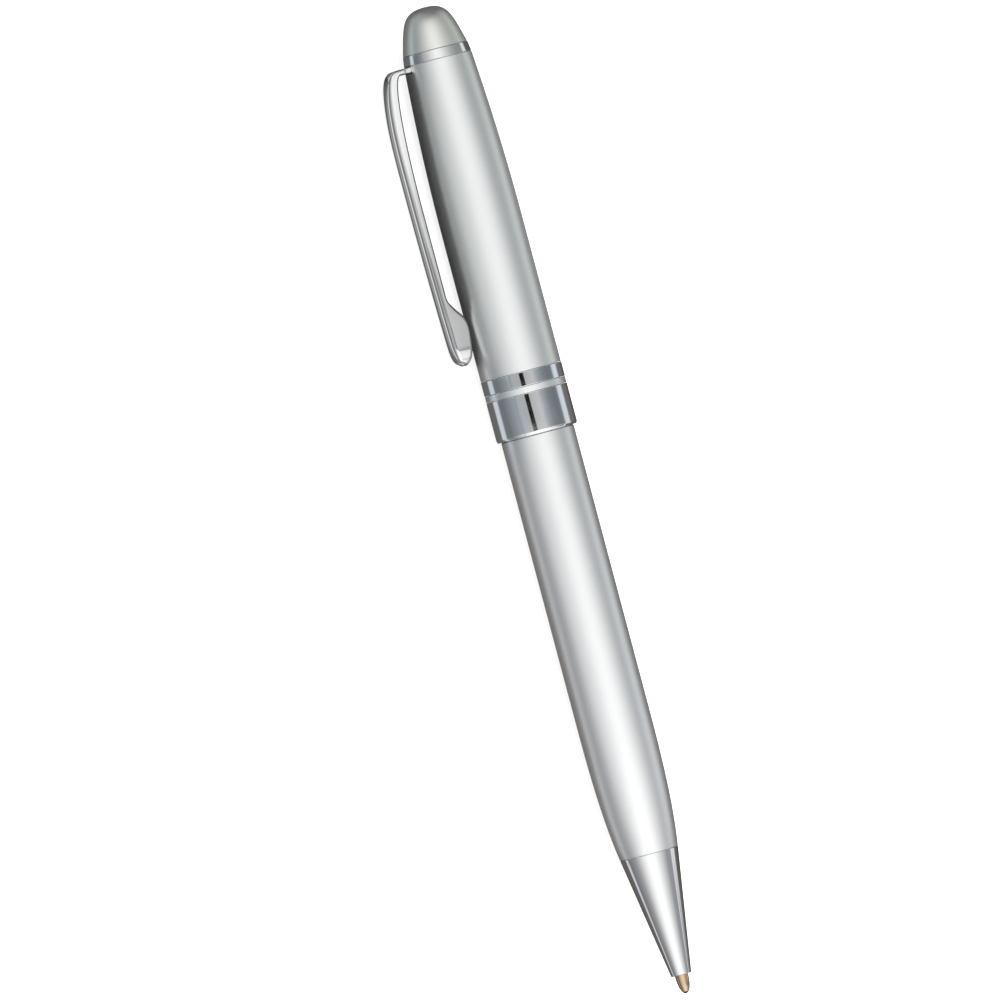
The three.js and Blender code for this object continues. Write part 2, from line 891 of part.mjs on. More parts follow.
// The pen lies on its centre band and on the clip's lower edge, centred over the origin.
const edgeOut = clipOuter - clipEdge;
const edgeAcross = clipWidth / 2 - clipEdge;
const roll =
  Math.asin((bandRadius - clipEdge) / Math.hypot(edgeOut, edgeAcross)) -
  Math.atan2(edgeAcross, edgeOut);
const clipSide = edgeOut * Math.cos(roll) + edgeAcross * Math.sin(roll) + clipEdge;
pen.rotation.x = roll;
pen.position.set(-penLength / 2, (clipSide - bandRadius) / 2, bandRadius);

const desk = new THREE.Group();
desk.add(pen);

export default desk;
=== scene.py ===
# %% [markdown]
# # A twist pen in satin and polished metal
# This lesson dresses the solids of a twist ballpoint pen. The solids give every piece its place
# and its motion, but they are faceted and plain. Here the pieces that show are modelled again
# with fine curves and rounded edges, and every piece gets a metal or plastic finish.

# %% Load the solids
import json
import math

import bpy
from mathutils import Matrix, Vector


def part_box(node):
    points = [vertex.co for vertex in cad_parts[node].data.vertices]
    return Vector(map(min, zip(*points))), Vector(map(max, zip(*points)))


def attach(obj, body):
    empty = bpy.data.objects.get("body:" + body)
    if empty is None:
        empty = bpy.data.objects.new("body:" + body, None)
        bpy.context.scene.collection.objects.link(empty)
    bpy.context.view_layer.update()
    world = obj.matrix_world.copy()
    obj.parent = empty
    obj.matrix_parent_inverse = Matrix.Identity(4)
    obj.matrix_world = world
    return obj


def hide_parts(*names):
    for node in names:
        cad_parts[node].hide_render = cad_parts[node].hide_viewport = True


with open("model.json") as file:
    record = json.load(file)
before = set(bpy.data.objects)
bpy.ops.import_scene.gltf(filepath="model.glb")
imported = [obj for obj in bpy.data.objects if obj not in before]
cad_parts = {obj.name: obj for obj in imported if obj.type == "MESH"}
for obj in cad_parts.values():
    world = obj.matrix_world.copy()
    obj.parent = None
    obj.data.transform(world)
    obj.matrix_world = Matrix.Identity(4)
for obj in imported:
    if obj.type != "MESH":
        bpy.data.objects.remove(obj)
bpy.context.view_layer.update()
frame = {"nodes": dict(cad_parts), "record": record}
mm = 0.001

# %% [markdown]
# ## Where the pen lies
# The pen lies along X with its point towards +X, on its centre band and on the edge of its clip.
# Nearly every piece is round about one axis, so each profile is drawn with two numbers: u, the
# distance from the top of the finial, and r, the distance from the axis. Both are in
# millimetres. The places come from the boxes of the solids, so the pieces fit without moving.

# %% The axis and the stations along it
pen_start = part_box("finial")[0].x
axis_low, axis_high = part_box("lower_barrel")
axis_y = (axis_low.y + axis_high.y) / 2
axis_z = (axis_low.z + axis_high.z) / 2


def stations(node):
    """Where a solid starts and ends along the pen, in millimetres."""
    low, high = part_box(node)
    return (low.x - pen_start) / mm, (high.x - pen_start) / mm


def on_pen(u, r=0.0):
    """A point above the pen's axis."""
    return Vector((pen_start + u * mm, axis_y, axis_z + r * mm))


ring_top, ring_end = stations("finial_trim_ring")
barrel_top, spigot_end = stations("upper_barrel")
band_top, band_end = stations("upper_band")
spacer_top, spacer_end = stations("band_spacer")
centre_top, centre_end = stations("centre_band")
lower_top, nose_top = stations("lower_barrel")
nose_spigot, nose_end = stations("nose_cone")
point_back = stations("refill_point")[0]
pen_length = stations("writing_ball")[1]
joints = (barrel_top, band_top, centre_top, centre_end, nose_top)
print("axis at y", round(axis_y / mm, 3), "z", round(axis_z / mm, 3), "mm")
print("joints at", [round(u, 2) for u in joints])

# %% [markdown]
# ## The camera
# The photograph was taken from so far away that the pen shows no perspective. The camera stands
# 2.4 m off with a long lens, looks down on the side where the clip lies, and is turned so
# that the pen runs from the top to the lower right. The pen's width on the picture fixes how
# much the lens takes in.

# %% Place the camera
camera_rise = math.radians(38.2)
pen_tilt = math.radians(14.9)
camera_distance = 2.4
picture_width = 137.19 * mm
sensor_width = 36
seen_from = 48
aim_along = 68
aim_beside = 7.3

to_camera = Vector((0, -math.cos(camera_rise), math.sin(camera_rise)))
across_pen = Vector((0, math.sin(camera_rise), math.cos(camera_rise)))
picture_up = across_pen * math.sin(pen_tilt) - Vector((1, 0, 0)) * math.cos(pen_tilt)
camera_place = on_pen(seen_from) + to_camera * camera_distance
camera_target = on_pen(aim_along) - across_pen * aim_beside * mm

backwards = (camera_place - camera_target).normalized()
rightwards = picture_up.cross(backwards).normalized()
upwards = backwards.cross(rightwards)

bpy.ops.object.camera_add(location=camera_place)
camera = bpy.context.object
camera.name = "photo_camera"
turn = [[rightwards[i], upwards[i], backwards[i]] for i in range(3)]
for row in range(3):
    for column in range(3):
        camera.matrix_world[row][column] = turn[row][column]
camera.data.sensor_width = sensor_width
camera.data.lens = sensor_width * camera_distance / picture_width
camera.data.clip_start = 0.01
camera.data.clip_end = 20
bpy.context.scene.camera = camera
print("lens", round(camera.data.lens), "mm")

# %% [markdown]
# ## Turning on the lathe
# The real pieces are turned from bar on a lathe, so they are made the same way here. A single
# vertex is extruded along the profile, the corners that a tool would break are bevelled, and
# the profile is spun round the axis. A cylinder primitive with bevels could do it for the plain
# rings, but a spun profile also holds the bores, sockets and curves in one piece.

# %% Tools for turned pieces
merge_distance = 1e-7
lathe_steps = 128
smooth_angle = math.radians(32)
corner_reach = 2e-6
hold_gap = 0.1
dressed_pieces = []


def put_down():
    """Leave edit mode with nothing selected."""
    if bpy.context.object and bpy.context.object.mode != "OBJECT":
        bpy.ops.object.mode_set(mode="OBJECT")
    bpy.ops.object.select_all(action="DESELECT")


def pick(piece):
    """Select one piece and nothing else."""
    put_down()
    piece.select_set(True)
    bpy.context.view_layer.objects.active = piece


def curve(points, steps):
    """Points of a smooth curve that is pulled towards its inner control points."""
    made = []
    for i in range(steps + 1):
        t = i / steps
        level = [Vector(point) for point in points]
        while len(level) > 1:
            level = [a.lerp(b, t) for a, b in zip(level, level[1:])]
        made.append(tuple(level[0]))
    return made


def draw_chain(name, places):
    """Extrude one vertex through a list of places."""
    put_down()
    bpy.ops.mesh.primitive_plane_add(size=mm, location=places[0])
    piece = bpy.context.object
    piece.name = name
    piece.data.name = name
    bpy.ops.object.mode_set(mode="EDIT")
    bpy.ops.mesh.merge(type="CENTER")
    for start, end in zip(places, places[1:]):
        step = Vector(end) - Vector(start)
        bpy.ops.mesh.extrude_region_move(TRANSFORM_OT_translate={"value": step})
    bpy.ops.mesh.select_all(action="SELECT")
    bpy.ops.mesh.remove_doubles(threshold=merge_distance)
    bpy.ops.object.mode_set(mode="OBJECT")
    bpy.ops.object.transform_apply(location=True)
    return piece


def pick_vertices(piece, wanted):
    """Select the vertices whose place passes a test, and open the piece for editing."""
    for group in (piece.data.polygons, piece.data.edges):
        for part in group:
            part.select = False
    for vertex in piece.data.vertices:
        vertex.select = bool(wanted(vertex.co))
    bpy.ops.object.mode_set(mode="EDIT")
    bpy.context.tool_settings.mesh_select_mode = (True, False, False)


def break_corners(piece, corners, width, segments=4):
    """Round the given (u, r) corners of a drawn profile."""
    places = [on_pen(u, r) for u, r in corners]
    pick_vertices(piece, lambda co: any((co - place).length < corner_reach for place in places))
    bpy.ops.mesh.bevel(offset=width * mm, segments=segments, affect="VERTICES")
    bpy.ops.object.mode_set(mode="OBJECT")


def spin_round(steps):
    """Spin the profile in hand about the pen's axis and close it."""
    bpy.ops.object.mode_set(mode="EDIT")
    bpy.ops.mesh.select_all(action="SELECT")
    bpy.ops.mesh.spin(steps=steps, angle=math.tau, center=on_pen(0), axis=(1, 0, 0))
    bpy.ops.mesh.select_all(action="SELECT")
    bpy.ops.mesh.remove_doubles(threshold=merge_distance)
    bpy.ops.mesh.normals_make_consistent(inside=False)
    bpy.ops.object.mode_set(mode="OBJECT")
    bpy.ops.object.shade_smooth_by_angle(angle=smooth_angle)


def held(profile):
    """The profile with a point close to both ends of each long side, which keeps it flat."""
    made = [profile[0]]
    for start, end in zip(profile, profile[1:]):
        long_side = math.dist(start, end)
        if long_side > 4 * hold_gap:
            share = hold_gap / long_side
            made.append(tuple(Vector(start).lerp(Vector(end), share)))
            made.append(tuple(Vector(end).lerp(Vector(start), share)))
        made.append(end)
    return made


def turned(name, profile, broken=(), width=0.08, steps=lathe_steps):
    """A turned piece: its (u, r) profile, the corners to break, and how wide."""
    piece = draw_chain(name, [on_pen(u, r) for u, r in held(profile)])
    if broken:
        break_corners(piece, broken, width)
    spin_round(steps)
    return piece


def dress(piece, node, body, slot):
    """The piece stands for a solid, moves with its body and takes its finish."""
    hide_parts(node)
    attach(piece, body)
    dressed_pieces.append((piece, slot))
    faces = len(piece.data.polygons)
    print(piece.name, "stands for", node, "on", body, "with", faces, "faces")


# %% [markdown]
# ## The finial
# The finial is the satin cap on the top. It is a dome with a flat-sided foot, and a stud behind
# it screws down through the clip's washer. The dome is one smooth curve that leaves the
# axis square, so the crown has no dimple where the lathe's centre would be.

# %% Turn the finial
finial_base = 5.95
finial_radius = 4.57
dome = curve(
    [
        (0, 0),
        (0, finial_radius * 0.7),
        (finial_base * 0.27, finial_radius * 0.755),
        (finial_base, finial_radius),
    ],
    32,
)
plug_radius = 3.47
stud_radius = 2.0
stud_end = stations("finial")[1]
foot_corner = (finial_base, finial_radius)
finial = turned(
    "satin_finial_cap",
    dome
    + [
        (finial_base, plug_radius),
        (ring_end, plug_radius),
        (ring_end, stud_radius),
        (stud_end, stud_radius),
        (stud_end, 0),
    ],
    broken=[foot_corner],
    width=0.07,
)
dress(finial, "finial", "upper_barrel", "satin_finial")

# %% [markdown]
# ## The polished rings
# Four rings are threaded on the upper barrel. Three are plated and polished: one under the
# finial, a narrow one, and the wide centre band. The satin spacer sits between the last two.
# Their outer corners are broken by less than a tenth of a millimetre, which gives each joint its
# fine dark line with a light one beside it. The wide band also has a turned chamfer on its
# lower edge and a socket inside for the lower barrel, so it gets a profile of its own.

# %% Turn the rings
def ring(name, ends, bore, radii, width=0.08):
    """A ring between two stations, with both of its outer corners broken."""
    corners = list(zip(ends, radii))
    profile = [(ends[0], bore), *corners, (ends[1], bore), (ends[0], bore)]
    return turned(name, profile, broken=corners, width=width)


ring_radius = 4.78
ring_bore = 3.52
ring_step = 0.02
trim_ring = ring("finial_ring", (ring_top, ring_end), ring_bore,
                 (finial_radius + ring_step, ring_radius))
dress(trim_ring, "finial_trim_ring", "upper_barrel", "polished_trim")

band_radius = 5.72
band_bore = 5.0
narrow_band = ring("narrow_band", (band_top, band_end), band_bore, (band_radius, band_radius))
dress(narrow_band, "upper_band", "upper_barrel", "polished_trim")

spacer_radius = 5.69
spacer = ring("satin_spacer", (spacer_top, spacer_end), band_bore,
              (spacer_radius, spacer_radius), width=0.05)
dress(spacer, "band_spacer", "upper_barrel", "satin_barrel")

socket_radius = 5.25
chamfer = 0.34
chamfer_radius = band_radius - 0.14
wide_band = turned(
    "wide_centre_band",
    [
        (centre_top, band_bore),
        (centre_top, band_radius),
        (centre_end - chamfer, band_radius),
        (centre_end, chamfer_radius),
        (centre_end, socket_radius),
        (spigot_end, socket_radius),
        (spigot_end, band_bore),
        (centre_top, band_bore),
    ],
    broken=[
        (centre_top, band_radius),
        (centre_end - chamfer, band_radius),
        (centre_end, chamfer_radius),
    ],
    width=0.06,
)
dress(wide_band, "centre_band", "upper_barrel", "polished_trim")

# %% [markdown]
# ## The upper barrel
# The upper barrel swells from the ring at its top to its full width after 24 mm. Its lower end
# is turned down to a spigot that carries the rings. A notch at the top lets the clip's
# arm out under the ring: a box is taken away from the spun tube with a boolean, because the
# notch is the one place where the barrel isn't round.

# %% Turn the upper barrel and cut its notch
upper_radius = 5.69
upper_bore = 4.2
top_bore = 4.05
spigot_radius = 4.95
swell_length = 24
top_bore_length = 10
seam = 0.03
rise = upper_radius - ring_radius
swell = curve(
    [
        (barrel_top, ring_radius),
        (barrel_top + swell_length / 3, ring_radius + rise * 0.66),
        (barrel_top + swell_length * 2 / 3, upper_radius),
        (barrel_top + swell_length, upper_radius),
    ],
    32,
)
shoulder = barrel_top + top_bore_length
shelf = band_top - seam
upper_tube = turned(
    "upper_barrel_tube",
    swell
    + [
        (shelf, upper_radius),
        (shelf, spigot_radius),
        (spigot_end, spigot_radius),
        (spigot_end, upper_bore),
        (shoulder + 0.05, upper_bore),
        (shoulder, top_bore),
        (barrel_top, top_bore),
        (barrel_top, ring_radius),
    ],
    broken=[(barrel_top, ring_radius), (shelf, upper_radius)],
    width=0.06,
)

notch_play = 0.12
arm_top = barrel_top + notch_play
arm_bottom = arm_top + 0.8
arm_width = 2.3
clip_roll = math.radians(29.787)
notch_start = barrel_top - 1
notch_end = arm_bottom + notch_play
notch_width = arm_width + 0.06


def lay_down(piece):
    """Roll a piece from the pen's own frame to where the clip lies on the desk."""
    piece.rotation_euler = (clip_roll, 0, 0)
    piece.location = on_pen(0)
    pick(piece)
    bpy.ops.object.transform_apply(location=True, rotation=True, scale=True)


put_down()
bpy.ops.mesh.primitive_cube_add(size=mm)
notch = bpy.context.object
bpy.ops.object.mode_set(mode="EDIT")
bpy.ops.transform.resize(value=(notch_end - notch_start, upper_radius, notch_width))
bpy.ops.transform.translate(
    value=((notch_start + notch_end) / 2 * mm, -upper_radius * mm, 0)
)
bpy.ops.object.mode_set(mode="OBJECT")
lay_down(notch)

pick(upper_tube)
bpy.ops.object.modifier_add(type="BOOLEAN")
upper_tube.modifiers[0].object = notch
upper_tube.modifiers[0].operation = "DIFFERENCE"
bpy.ops.object.modifier_apply(modifier=upper_tube.modifiers[0].name)
bpy.data.objects.remove(notch)
dress(upper_tube, "upper_barrel", "upper_barrel", "satin_barrel")

# %% [markdown]
# ## The lower barrel
# The lower barrel is straight for over two thirds of its length, then narrows in a long curve
# that meets the cone at the cone's own slope, so the light runs on without a kink. Its upper
# end hides inside the centre band: a short lead-in there, a tenth of a millimetre deep, catches
# no light and draws the dark line under the band. The lower end is bored for the cone's spigot.

# %% Turn the lower barrel
lower_radius = 5.15
lower_bore = 4.58
taper_length = 19
taper_start = nose_top - taper_length
nose_radius = 4.12
nose_slope = 0.156
nose_lead = 5.8
cone_socket = 3.6
taper = curve(
    [
        (taper_start, lower_radius),
        (taper_start + taper_length * 0.32, lower_radius),
        (nose_top - nose_lead, nose_radius + nose_lead * nose_slope),
        (nose_top, nose_radius),
    ],
    40,
)
lead_depth = 0.1
lead_radius = lower_radius - lead_depth
lead_end = centre_end + 0.14
socket_start = nose_top - 6.2
lower_tube = turned(
    "lower_barrel_tube",
    [(lower_top, lead_radius), (lead_end - lead_depth, lead_radius), (lead_end, lower_radius)]
    + taper
    + [
        (nose_top, cone_socket),
        (socket_start, cone_socket),
        (taper_start, lower_bore),
        (lower_top, lower_bore),
        (lower_top, lead_radius),
    ],
    broken=[(nose_top, nose_radius)],
    width=0.06,
)
dress(lower_tube, "lower_barrel", "lower_barrel", "satin_barrel")

# %% [markdown]
# ## The nose cone
# The polished cone screws into the barrel with a thin spigot. Its sides are straight, its mouth
# is rounded off, and its bore steps from the spring's chamber down to a close fit on the
# point, so the pen doesn't rattle when it writes.

# %% Turn the nose cone
cone_top = nose_top + seam
thread_radius = 3.55
thread_bore = 3.15
chamber_radius = 2.2
chamber_end = nose_end - 8.5
guide_bore = 1.25
mouth_radius = 1.43
mouth_bore = 0.98
mouth_length = 1.2
cone = turned(
    "polished_nose_cone",
    [
        (nose_spigot, thread_bore),
        (nose_spigot, thread_radius),
        (cone_top, thread_radius),
        (cone_top, nose_radius),
        (nose_end, mouth_radius),
        (nose_end, mouth_bore),
        (nose_end - mouth_length, mouth_bore),
        (nose_end - mouth_length - 0.3, guide_bore),
        (chamber_end, guide_bore),
        (chamber_end, chamber_radius),
        (nose_top - 0.4, chamber_radius),
        (nose_top - 1.2, thread_bore),
        (nose_spigot, thread_bore),
    ],
    broken=[(cone_top, nose_radius), (nose_end, mouth_radius), (nose_end, mouth_bore)],
    width=0.09,
)
dress(cone, "nose_cone", "lower_barrel", "polished_trim")

# %% [markdown]
# ## The writing point
# The refill's point is turned from brass. It narrows in a short ogive, and its lip is crimped
# over the ball, which stands out by two thirds of its radius. The ball runs in a seat
# with a fine channel for the ink behind it.

# %% Turn the point and its ball
ball_radius = 0.5
seat_radius = ball_radius + 0.03
point_radius = 0.93
shank_radius = 1.15
channel_radius = 0.2
shank_end = pen_length - 5
channel_start = pen_length - 3
lip = ball_radius * 0.66
lip_angle = math.acos((ball_radius - lip) / seat_radius)
channel_angle = math.pi - math.asin(channel_radius / seat_radius)
seat_steps = 12
seat = []
for i in range(seat_steps + 1):
    angle = channel_angle + (lip_angle - channel_angle) * i / seat_steps
    back = ball_radius - seat_radius * math.cos(angle)
    seat.append((pen_length - back, seat_radius * math.sin(angle)))
lip_radius = seat_radius * math.sin(lip_angle)
ogive = curve(
    [
        (nose_end, point_radius),
        (pen_length - lip - 1.1, point_radius),
        (pen_length - lip - 0.7, lip_radius + 0.3),
        (pen_length - lip, lip_radius + 0.03),
    ],
    16,
)
point = turned(
    "brass_point",
    [
        (point_back, shank_radius / 2),
        (point_back, shank_radius),
        (shank_end, shank_radius),
        (shank_end + 0.3, point_radius),
    ]
    + ogive
    + seat[::-1]
    + [
        (channel_start, channel_radius),
        (channel_start - 0.4, shank_radius / 2),
        (point_back, shank_radius / 2),
    ],
    steps=64,
)
dress(point, "refill_point", "refill", "point_brass")

ball_steps = 24
half_circle = [
    (pen_length - ball_radius * (1 - math.cos(math.pi * i / ball_steps)),
     ball_radius * math.sin(math.pi * i / ball_steps))
    for i in range(ball_steps + 1)
]
ball = turned("carbide_ball", half_circle, steps=48)
dress(ball, "writing_ball", "writing_ball", "ball_carbide")

# %% [markdown]
# ## The clip
# The clip is pressed from spring strip. A tongue sits in the washer, the arm comes out under the
# ring and bends into a long blade with a domed back, and the foot swells towards the barrel and
# ends round. Its edges on the side of the barrel are cut flat at 45 degrees, and draw the clip's
# dark outline. A plain bevel can't give both the dome and the cut, so the side view is drawn
# several times, from the middle of the clip out to its flank, each time drawn in a little more,
# and the drawings are bridged. Thin slices near the tip are then made narrower.

# %% Draw the side of the clip
clip_outer = 9.78
clip_inner = 8.27
tongue_reach = 3.0
tongue_shoulder = 3.9
bend_start = clip_outer - 3.1
clip_end = arm_top + 41.5
foot_start = clip_end - 9.7
foot = upper_radius + 0.36
foot_outer = foot + 3.42
tip_centre = clip_end - 1.3
crest = (arm_top + clip_end) / 3 + 1.8
tip_upper = (clip_end - 0.27, foot + 2.36)
tip_lower = (clip_end - 0.74, foot + 0.8)
heel_out = (tip_centre - 3.1, foot + 0.05)
heel_in = (foot_start + 2.9, foot + 0.48)
blade_dome = 0.9
arm_dome = 0.35
tip_dome = 0.5
heel_cut = 0.5
inner_cut = 0.3
arm_cut = 0.26
hidden_round = 0.05
tongue_side = (tongue_reach, tongue_shoulder, tongue_shoulder + 0.2)


def along(points, steps, before, after, done=1.0, flat=(0, 0)):
    """Points of a curve, each with how deep and how flat the edge beside it is."""
    made = []
    for i, (u, r) in enumerate(curve(points, steps)):
        share = min(i / (steps * done), 1)
        share = share * share * (3 - 2 * share)
        depth = before + (after - before) * share
        made.append((u, r, depth, flat[0] + (flat[1] - flat[0]) * share))
    return made


side = [(arm_top, r, hidden_round, 0) for r in tongue_side]
side += along(
    [(arm_top, bend_start), (arm_top, clip_outer - 0.8), (arm_top + 4.9, clip_outer),
     (crest, clip_outer)],
    26, arm_dome, blade_dome, done=0.6,
)
side += along(
    [(crest, clip_outer), (crest + 8, clip_outer), (foot_start - 1.5, clip_outer - 0.1),
     (tip_centre - 3, foot_outer)],
    20, blade_dome, blade_dome,
)[1:]
side += along([side[-1][:2], (tip_centre + 0.5, foot_outer - 0.06), tip_upper],
              10, blade_dome, tip_dome)[1:]
side += along([tip_upper, (clip_end + 0.5, foot + 1.65), tip_lower],
              10, tip_dome, heel_cut, flat=(0, 1))[1:]
side += along([tip_lower, (tip_centre - 0.2, foot + 0.29), heel_out],
              10, heel_cut, heel_cut, flat=(1, 1))[1:]
side += along([heel_out, (foot_start + 3.8, foot - 0.06), heel_in],
              10, heel_cut, heel_cut, flat=(1, 1))[1:]
side += along(
    [heel_in, (foot_start + 2, foot + 1.11), (foot_start + 1, clip_inner),
     (foot_start, clip_inner)],
    12, heel_cut, inner_cut, flat=(1, 1),
)[1:]
side += along(
    [(crest + 6, clip_inner), (arm_top + 8.5, clip_inner), (arm_bottom, clip_inner - 0.75),
     (arm_bottom, clip_inner - 1.9)],
    26, inner_cut, arm_cut, flat=(1, 1),
)
side += [(arm_bottom, r, hidden_round, 1) for r in tongue_side[::-1]]
print("side view of the clip has", len(side), "points")

# %% Draw it again and again towards the flank, and bridge the drawings
clip_width = 2.76
half_width = clip_width / 2
dome_reach = 1.6
dome_power = 1.5
level_with = 1e-7
drawn_times = 12
outward = [math.sin(math.pi / 2 * i / drawn_times) for i in range(drawn_times + 1)]


def drawn_in(share):
    """The side view at this share of the half width, drawn in by its rounding."""
    places = []
    for k, (u, r, depth, flat) in enumerate(side):
        before, after = Vector(side[k - 1][:2]), Vector(side[(k + 1) % len(side)][:2])
        run = (after - before).normalized()
        domed = min(dome_reach * depth ** dome_power, half_width)
        reach = domed * (1 - flat) + depth * flat
        past = max(0, 1 - (1 - share) * half_width / reach)
        inset = depth * ((1 - math.sqrt(1 - past ** 2)) * (1 - flat) + past * flat)
        places.append(Vector((u + run.y * inset, run.x * inset - r, half_width * share)) * mm)
    return places + places[:1]


drawings = [draw_chain("spring_clip", drawn_in(share)) for share in outward]
put_down()
for drawing in drawings:
    drawing.select_set(True)
bpy.ops.object.join()
blade = bpy.context.object
for inner_share, outer_share in zip(outward, outward[1:]):
    heights = (inner_share * half_width * mm, outer_share * half_width * mm)
    pick_vertices(blade, lambda co: min(abs(co.z - h) for h in heights) < level_with)
    bpy.ops.mesh.bridge_edge_loops()
    bpy.ops.object.mode_set(mode="OBJECT")
pick_vertices(blade, lambda co: co.z > half_width * mm - level_with)
bpy.ops.mesh.edge_face_add()
bpy.ops.mesh.select_all(action="SELECT")
bpy.ops.mesh.normals_make_consistent(inside=False)
bpy.ops.object.mode_set(mode="OBJECT")
print("clip half has", len(blade.data.polygons), "faces")

# %% Slice the foot and the arm, then narrow the slices
tip_length = 3.0
tip_loss = 0.4
tip_slices = 24
tip_start = clip_end - tip_length
slices = [
    tip_start + tip_length * math.sin(math.pi / 2 * i / tip_slices) for i in range(tip_slices)
]
slices += [foot_start, foot_start + 2, foot_start + 4, crest]
arm_slices = ((5.9, clip_width), (5.45, 2.66), (5.0, arm_width))
tongue_width = 2
bpy.ops.object.mode_set(mode="EDIT")
for u in slices:
    bpy.ops.mesh.select_all(action="SELECT")
    bpy.ops.mesh.bisect(plane_co=(u * mm, 0, 0), plane_no=(1, 0, 0))
for r, width in arm_slices:
    bpy.ops.mesh.select_all(action="SELECT")
    bpy.ops.mesh.bisect(plane_co=(0, -r * mm, 0), plane_no=(0, 1, 0))
bpy.ops.object.mode_set(mode="OBJECT")


def narrow(wanted, share):
    """Bring the vertices that pass a test closer to the clip's middle."""
    pick_vertices(blade, wanted)
    bpy.ops.transform.resize(value=(1, 1, share), center_override=(0, 0, 0))
    bpy.ops.object.mode_set(mode="OBJECT")


stops = sorted({round(vertex.co.x / mm, 3) for vertex in blade.data.vertices})
for u in [stop for stop in stops if stop > tip_start]:
    past = min((u - tip_start) / tip_length, 1)
    narrow(lambda co: abs(co.x / mm - u) < 6e-4, 1 - tip_loss * past ** 4)
in_arm = (arm_bottom + 0.3) * mm
for r, width in arm_slices:
    narrow(lambda co: co.x < in_arm and abs(-co.y / mm - r) < 1e-3, width / clip_width)
tongue_root = tongue_shoulder + 0.01
arm_root = 4.9
narrow(lambda co: tongue_root < -co.y / mm < arm_root, arm_width / clip_width)
narrow(lambda co: -co.y / mm < tongue_root, tongue_width / clip_width)
print("clip half spans", [round(side / mm, 2) for side in blade.dimensions])

# %% Mirror it and lay it down
pick(blade)
bpy.ops.object.modifier_add(type="MIRROR")
blade.modifiers[0].use_axis = (False, False, True)
blade.modifiers[0].merge_threshold = 1e-6
bpy.ops.object.modifier_apply(modifier=blade.modifiers[0].name)
bpy.ops.object.mode_set(mode="EDIT")
bpy.ops.mesh.select_all(action="SELECT")
bpy.ops.mesh.remove_doubles(threshold=merge_distance)
bpy.ops.mesh.normals_make_consistent(inside=False)
bpy.ops.object.mode_set(mode="OBJECT")
lay_down(blade)
bpy.ops.object.shade_smooth_by_angle(angle=smooth_angle)
dress(blade, "clip", "clip", "polished_trim")

# %% [markdown]
# ## Patterns that the finishes share
# Real metal is never one flat value. Four small patterns are built once as node groups and
# used in many finishes: the grain of blasted metal, the haze that wiping leaves on polish, the
# rings that a lathe tool leaves, and the soft skin of moulded plastic. Each gives a mask for
# the colour and roughness, and a height for the bump.

# %% Build the pattern groups
def new_group(name, inputs, outputs):
    """An empty pattern group with named sockets and their starting values."""
    group = bpy.data.node_groups.new(name, "ShaderNodeTree")
    add_socket = group.interface.new_socket
    for label, value in inputs.items():
        socket = add_socket(name=label, in_out="INPUT", socket_type="NodeSocketFloat")
        socket.default_value = value
    for label in outputs:
        add_socket(name=label, in_out="OUTPUT", socket_type="NodeSocketFloat")
    group.nodes.new("NodeGroupInput").name = "in"
    group.nodes.new("NodeGroupOutput").name = "out"
    group.nodes.new("ShaderNodeTexCoord").name = "place"
    return group


def add_noise(group, name, detail, rough=0.5, size=None, mask=None):
    """A noise at the object's own coordinates, with the sockets for its size and its mask."""
    noise = group.nodes.new("ShaderNodeTexNoise")
    noise.name = name
    noise.inputs["Detail"].default_value = detail
    noise.inputs["Roughness"].default_value = rough
    group.links.new(group.nodes["place"].outputs["Object"], noise.inputs["Vector"])
    if size:
        group.links.new(group.nodes["in"].outputs[size], noise.inputs["Scale"])
    if mask:
        group.links.new(noise.outputs["Fac"], group.nodes["out"].inputs[mask])
    return noise


def add_math(tree, operation, first, second):
    """A math node fed by sockets or plain numbers."""
    node = tree.nodes.new("ShaderNodeMath")
    node.operation = operation
    for socket, value in zip(node.inputs, (first, second)):
        if isinstance(value, (int, float)):
            socket.default_value = value
        else:
            tree.links.new(value, socket)
    return node.outputs[0]


grain = new_group("blasted grain", {"Grain size": 9000, "Cloud size": 60}, ["Grain", "Cloud"])
add_noise(grain, "fine grain", 3, 0.6, "Grain size", "Grain")
add_noise(grain, "slow clouds", 2, 0.5, "Cloud size", "Cloud")

haze = new_group(
    "wiping haze", {"Smear size": 500, "Hairline size": 4000}, ["Smear", "Hairlines"]
)
add_noise(haze, "smears", 3, 0.6, "Smear size", "Smear")
hairlines = add_noise(haze, "hairlines", 5, 0.7, "Hairline size", "Hairlines")
stretch = haze.nodes.new("ShaderNodeMapping")
stretch.inputs["Scale"].default_value = (1, 0.08, 0.08)
haze.links.new(haze.nodes["place"].outputs["Object"], stretch.inputs["Vector"])
haze.links.new(stretch.outputs["Vector"], hairlines.inputs["Vector"])

lathe = new_group("lathe rings", {"Rings per metre": 12000, "Waver": 0.3}, ["Rings"])
lathe_in = lathe.nodes["in"].outputs
apart = lathe.nodes.new("ShaderNodeSeparateXYZ")
lathe.links.new(lathe.nodes["place"].outputs["Object"], apart.inputs[0])
waver = add_noise(lathe, "waver", 2)
waver.inputs["Scale"].default_value = 700
pitch = add_math(lathe, "MULTIPLY", apart.outputs["X"], lathe_in["Rings per metre"])
shaken = add_math(lathe, "MULTIPLY", waver.outputs["Fac"], lathe_in["Waver"])
ridge = add_math(lathe, "ADD", pitch, shaken)
wave = add_math(lathe, "SINE", add_math(lathe, "MULTIPLY", ridge, math.tau), 0)
half_wave = add_math(lathe, "MULTIPLY", wave, 0.5)
height = add_math(lathe, "ADD", half_wave, 0.5)
lathe.links.new(height, lathe.nodes["out"].inputs["Rings"])

skin = new_group("moulded skin", {"Skin size": 2500}, ["Skin"])
add_noise(skin, "orange peel", 1, 0.4, "Skin size", "Skin")
print("pattern groups:", [group.name for group in bpy.data.node_groups])

